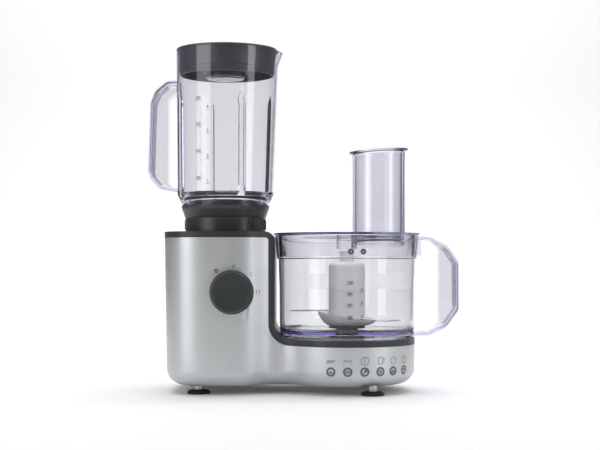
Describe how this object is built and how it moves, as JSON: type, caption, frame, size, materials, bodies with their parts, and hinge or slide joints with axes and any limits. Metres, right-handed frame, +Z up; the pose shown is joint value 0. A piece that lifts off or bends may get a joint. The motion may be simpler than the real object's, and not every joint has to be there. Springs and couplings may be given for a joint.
{
  "type": "food processor",
  "caption": "Compact food processor: silver drive unit with a blender jug on its tower and a lidded mixing bowl with feed tube, pusher and knife on its platform.",
  "frame": {"origin": "on the worktop under the middle of the object's bounding box", "axes": "+Z up, the front with the knob faces -Y, the bowl is on the +X side"},
  "size_m": [0.3419, 0.1856, 0.3796],
  "materials": {
    "silver_shell": "moulded plastic with satin metallic silver paint",
    "dark_trim": "fine matt charcoal moulding",
    "black_plastic": "matt black moulding",
    "clear_plastic": "clear polished moulding",
    "grey_plastic": "light grey satin moulding",
    "rubber": "matt black rubber",
    "steel": "bright steel",
    "laminated_iron": "stacked iron sheets",
    "copper": "copper and bronze",
    "white_nylon": "off-white nylon",
    "green_board": "circuit board"
  },
  "bodies": {
    "base": {"outer_housing": "silver_shell", "foot_post_front_left": "silver_shell", "foot_post_front_right": "silver_shell", "foot_post_rear_left": "silver_shell", "foot_post_rear_right": "silver_shell", "top_deck": "dark_trim", "base_plate": "dark_trim", "spindle_carrier": "dark_trim", "cord_inlet": "black_plastic", "brush_holder_left": "black_plastic", "brush_holder_right": "black_plastic", "rotary_switch": "black_plastic", "bowl_microswitch": "black_plastic", "jug_microswitch": "black_plastic", "rubber_foot_front_left": "rubber", "rubber_foot_front_right": "rubber", "rubber_foot_rear_left": "rubber", "rubber_foot_rear_right": "rubber", "drive_belt": "rubber", "base_screw_1": "steel", "base_screw_2": "steel", "base_screw_3": "steel", "base_screw_4": "steel", "motor_lower_bracket": "steel", "motor_upper_bracket": "steel", "lower_bearing": "steel", "upper_bearing": "steel", "bowl_interlock_spring": "steel", "jug_interlock_spring": "steel", "motor_stator": "laminated_iron", "field_coil_front": "copper", "field_coil_rear": "copper", "spindle_bush": "copper", "control_board": "green_board"},
    "knob": {"control_knob": "dark_trim"},
    "rotor": {"motor_shaft": "steel", "rotor_core": "laminated_iron", "commutator": "copper", "cooling_fan": "white_nylon", "motor_pulley": "steel", "jug_drive_coupling": "black_plastic"},
    "spindle": {"bowl_spindle": "steel", "spindle_pulley": "white_nylon"},
    "bowl_pin": {"bowl_interlock_pin": "black_plastic"},
    "jug_pin": {"jug_interlock_pin": "black_plastic"},
    "blade_unit": {"blade_carrier": "dark_trim", "jug_seal_ring": "rubber"},
    "blades": {"jug_blades": "steel", "jug_blade_shaft": "steel", "jug_driven_star": "black_plastic"},
    "jug": {"jug": "clear_plastic"},
    "jug_lid": {"jug_lid": "dark_trim"},
    "filler_cap": {"filler_cap": "clear_plastic"},
    "bowl": {"bowl": "clear_plastic"},
    "bowl_lid": {"bowl_lid": "clear_plastic"},
    "pusher": {"pusher": "clear_plastic"},
    "knife": {"knife_hub": "grey_plastic", "drive_shaft": "black_plastic", "knife_blade_upper": "steel", "knife_blade_lower": "steel"}
  },
  "joints": [
    {"name": "knob_turn", "type": "hinge", "parent": "base", "child": "knob", "pos_m": [-0.075, -0.085, 0.1097], "axis": [0, 1, 0], "range_deg": [-45, 90]},
    {"name": "motor_spin", "type": "hinge", "parent": "base", "child": "rotor", "pos_m": [-0.086, 0, 0.15], "axis": [0, 0, 1], "continuous": true},
    {"name": "spindle_spin", "type": "hinge", "parent": "base", "child": "spindle", "pos_m": [0.0483, -0.012, 0.1], "axis": [0, 0, 1], "continuous": true},
    {"name": "bowl_pin_press", "type": "slide", "parent": "base", "child": "bowl_pin", "axis": [0, 0, -1], "range_m": [0, 0.003], "stiffness_N_per_m": 300, "springref_m": -0.002, "deforming": ["bowl_interlock_spring"]},
    {"name": "jug_pin_press", "type": "slide", "parent": "base", "child": "jug_pin", "axis": [0, 0, -1], "range_m": [0, 0.003], "stiffness_N_per_m": 300, "springref_m": -0.002, "deforming": ["jug_interlock_spring"]},
    {"name": "blade_unit_lift", "type": "slide", "parent": "base", "child": "blade_unit", "axis": [0, 0, 1], "range_m": [0, 0.15]},
    {"name": "blades_spin", "type": "hinge", "parent": "blade_unit", "child": "blades", "pos_m": [-0.086, 0, 0.15], "axis": [0, 0, 1], "continuous": true},
    {"name": "jug_unscrew", "type": "hinge", "parent": "blade_unit", "child": "jug", "pos_m": [-0.086, 0, 0.15], "axis": [0, 0, 1], "range_deg": [0, 40]},
    {"name": "jug_lid_lift", "type": "slide", "parent": "jug", "child": "jug_lid", "axis": [0, 0, 1], "range_m": [0, 0.06]},
    {"name": "filler_cap_lift", "type": "slide", "parent": "jug_lid", "child": "filler_cap", "axis": [0, 0, 1], "range_m": [0, 0.06]},
    {"name": "bowl_lift", "type": "slide", "parent": "base", "child": "bowl", "axis": [0, 0, 1], "range_m": [0, 0.045]},
    {"name": "bowl_lid_lift", "type": "slide", "parent": "bowl", "child": "bowl_lid", "axis": [0, 0, 1], "range_m": [0, 0.03]},
    {"name": "pusher_slide", "type": "slide", "parent": "bowl_lid", "child": "pusher", "axis": [0, 0, 1], "range_m": [0, 0.11]},
    {"name": "knife_spin", "type": "hinge", "parent": "bowl", "child": "knife", "pos_m": [0.0483, -0.012, 0.1], "axis": [0, 0, 1], "continuous": true}
  ],
  "couplings": [
    {"joint": "spindle_spin", "follows": "motor_spin", "ratio": 0.2},
    {"joint": "blades_spin", "follows": "motor_spin", "ratio": 1},
    {"joint": "knife_spin", "follows": "motor_spin", "ratio": 0.2}
  ]
}
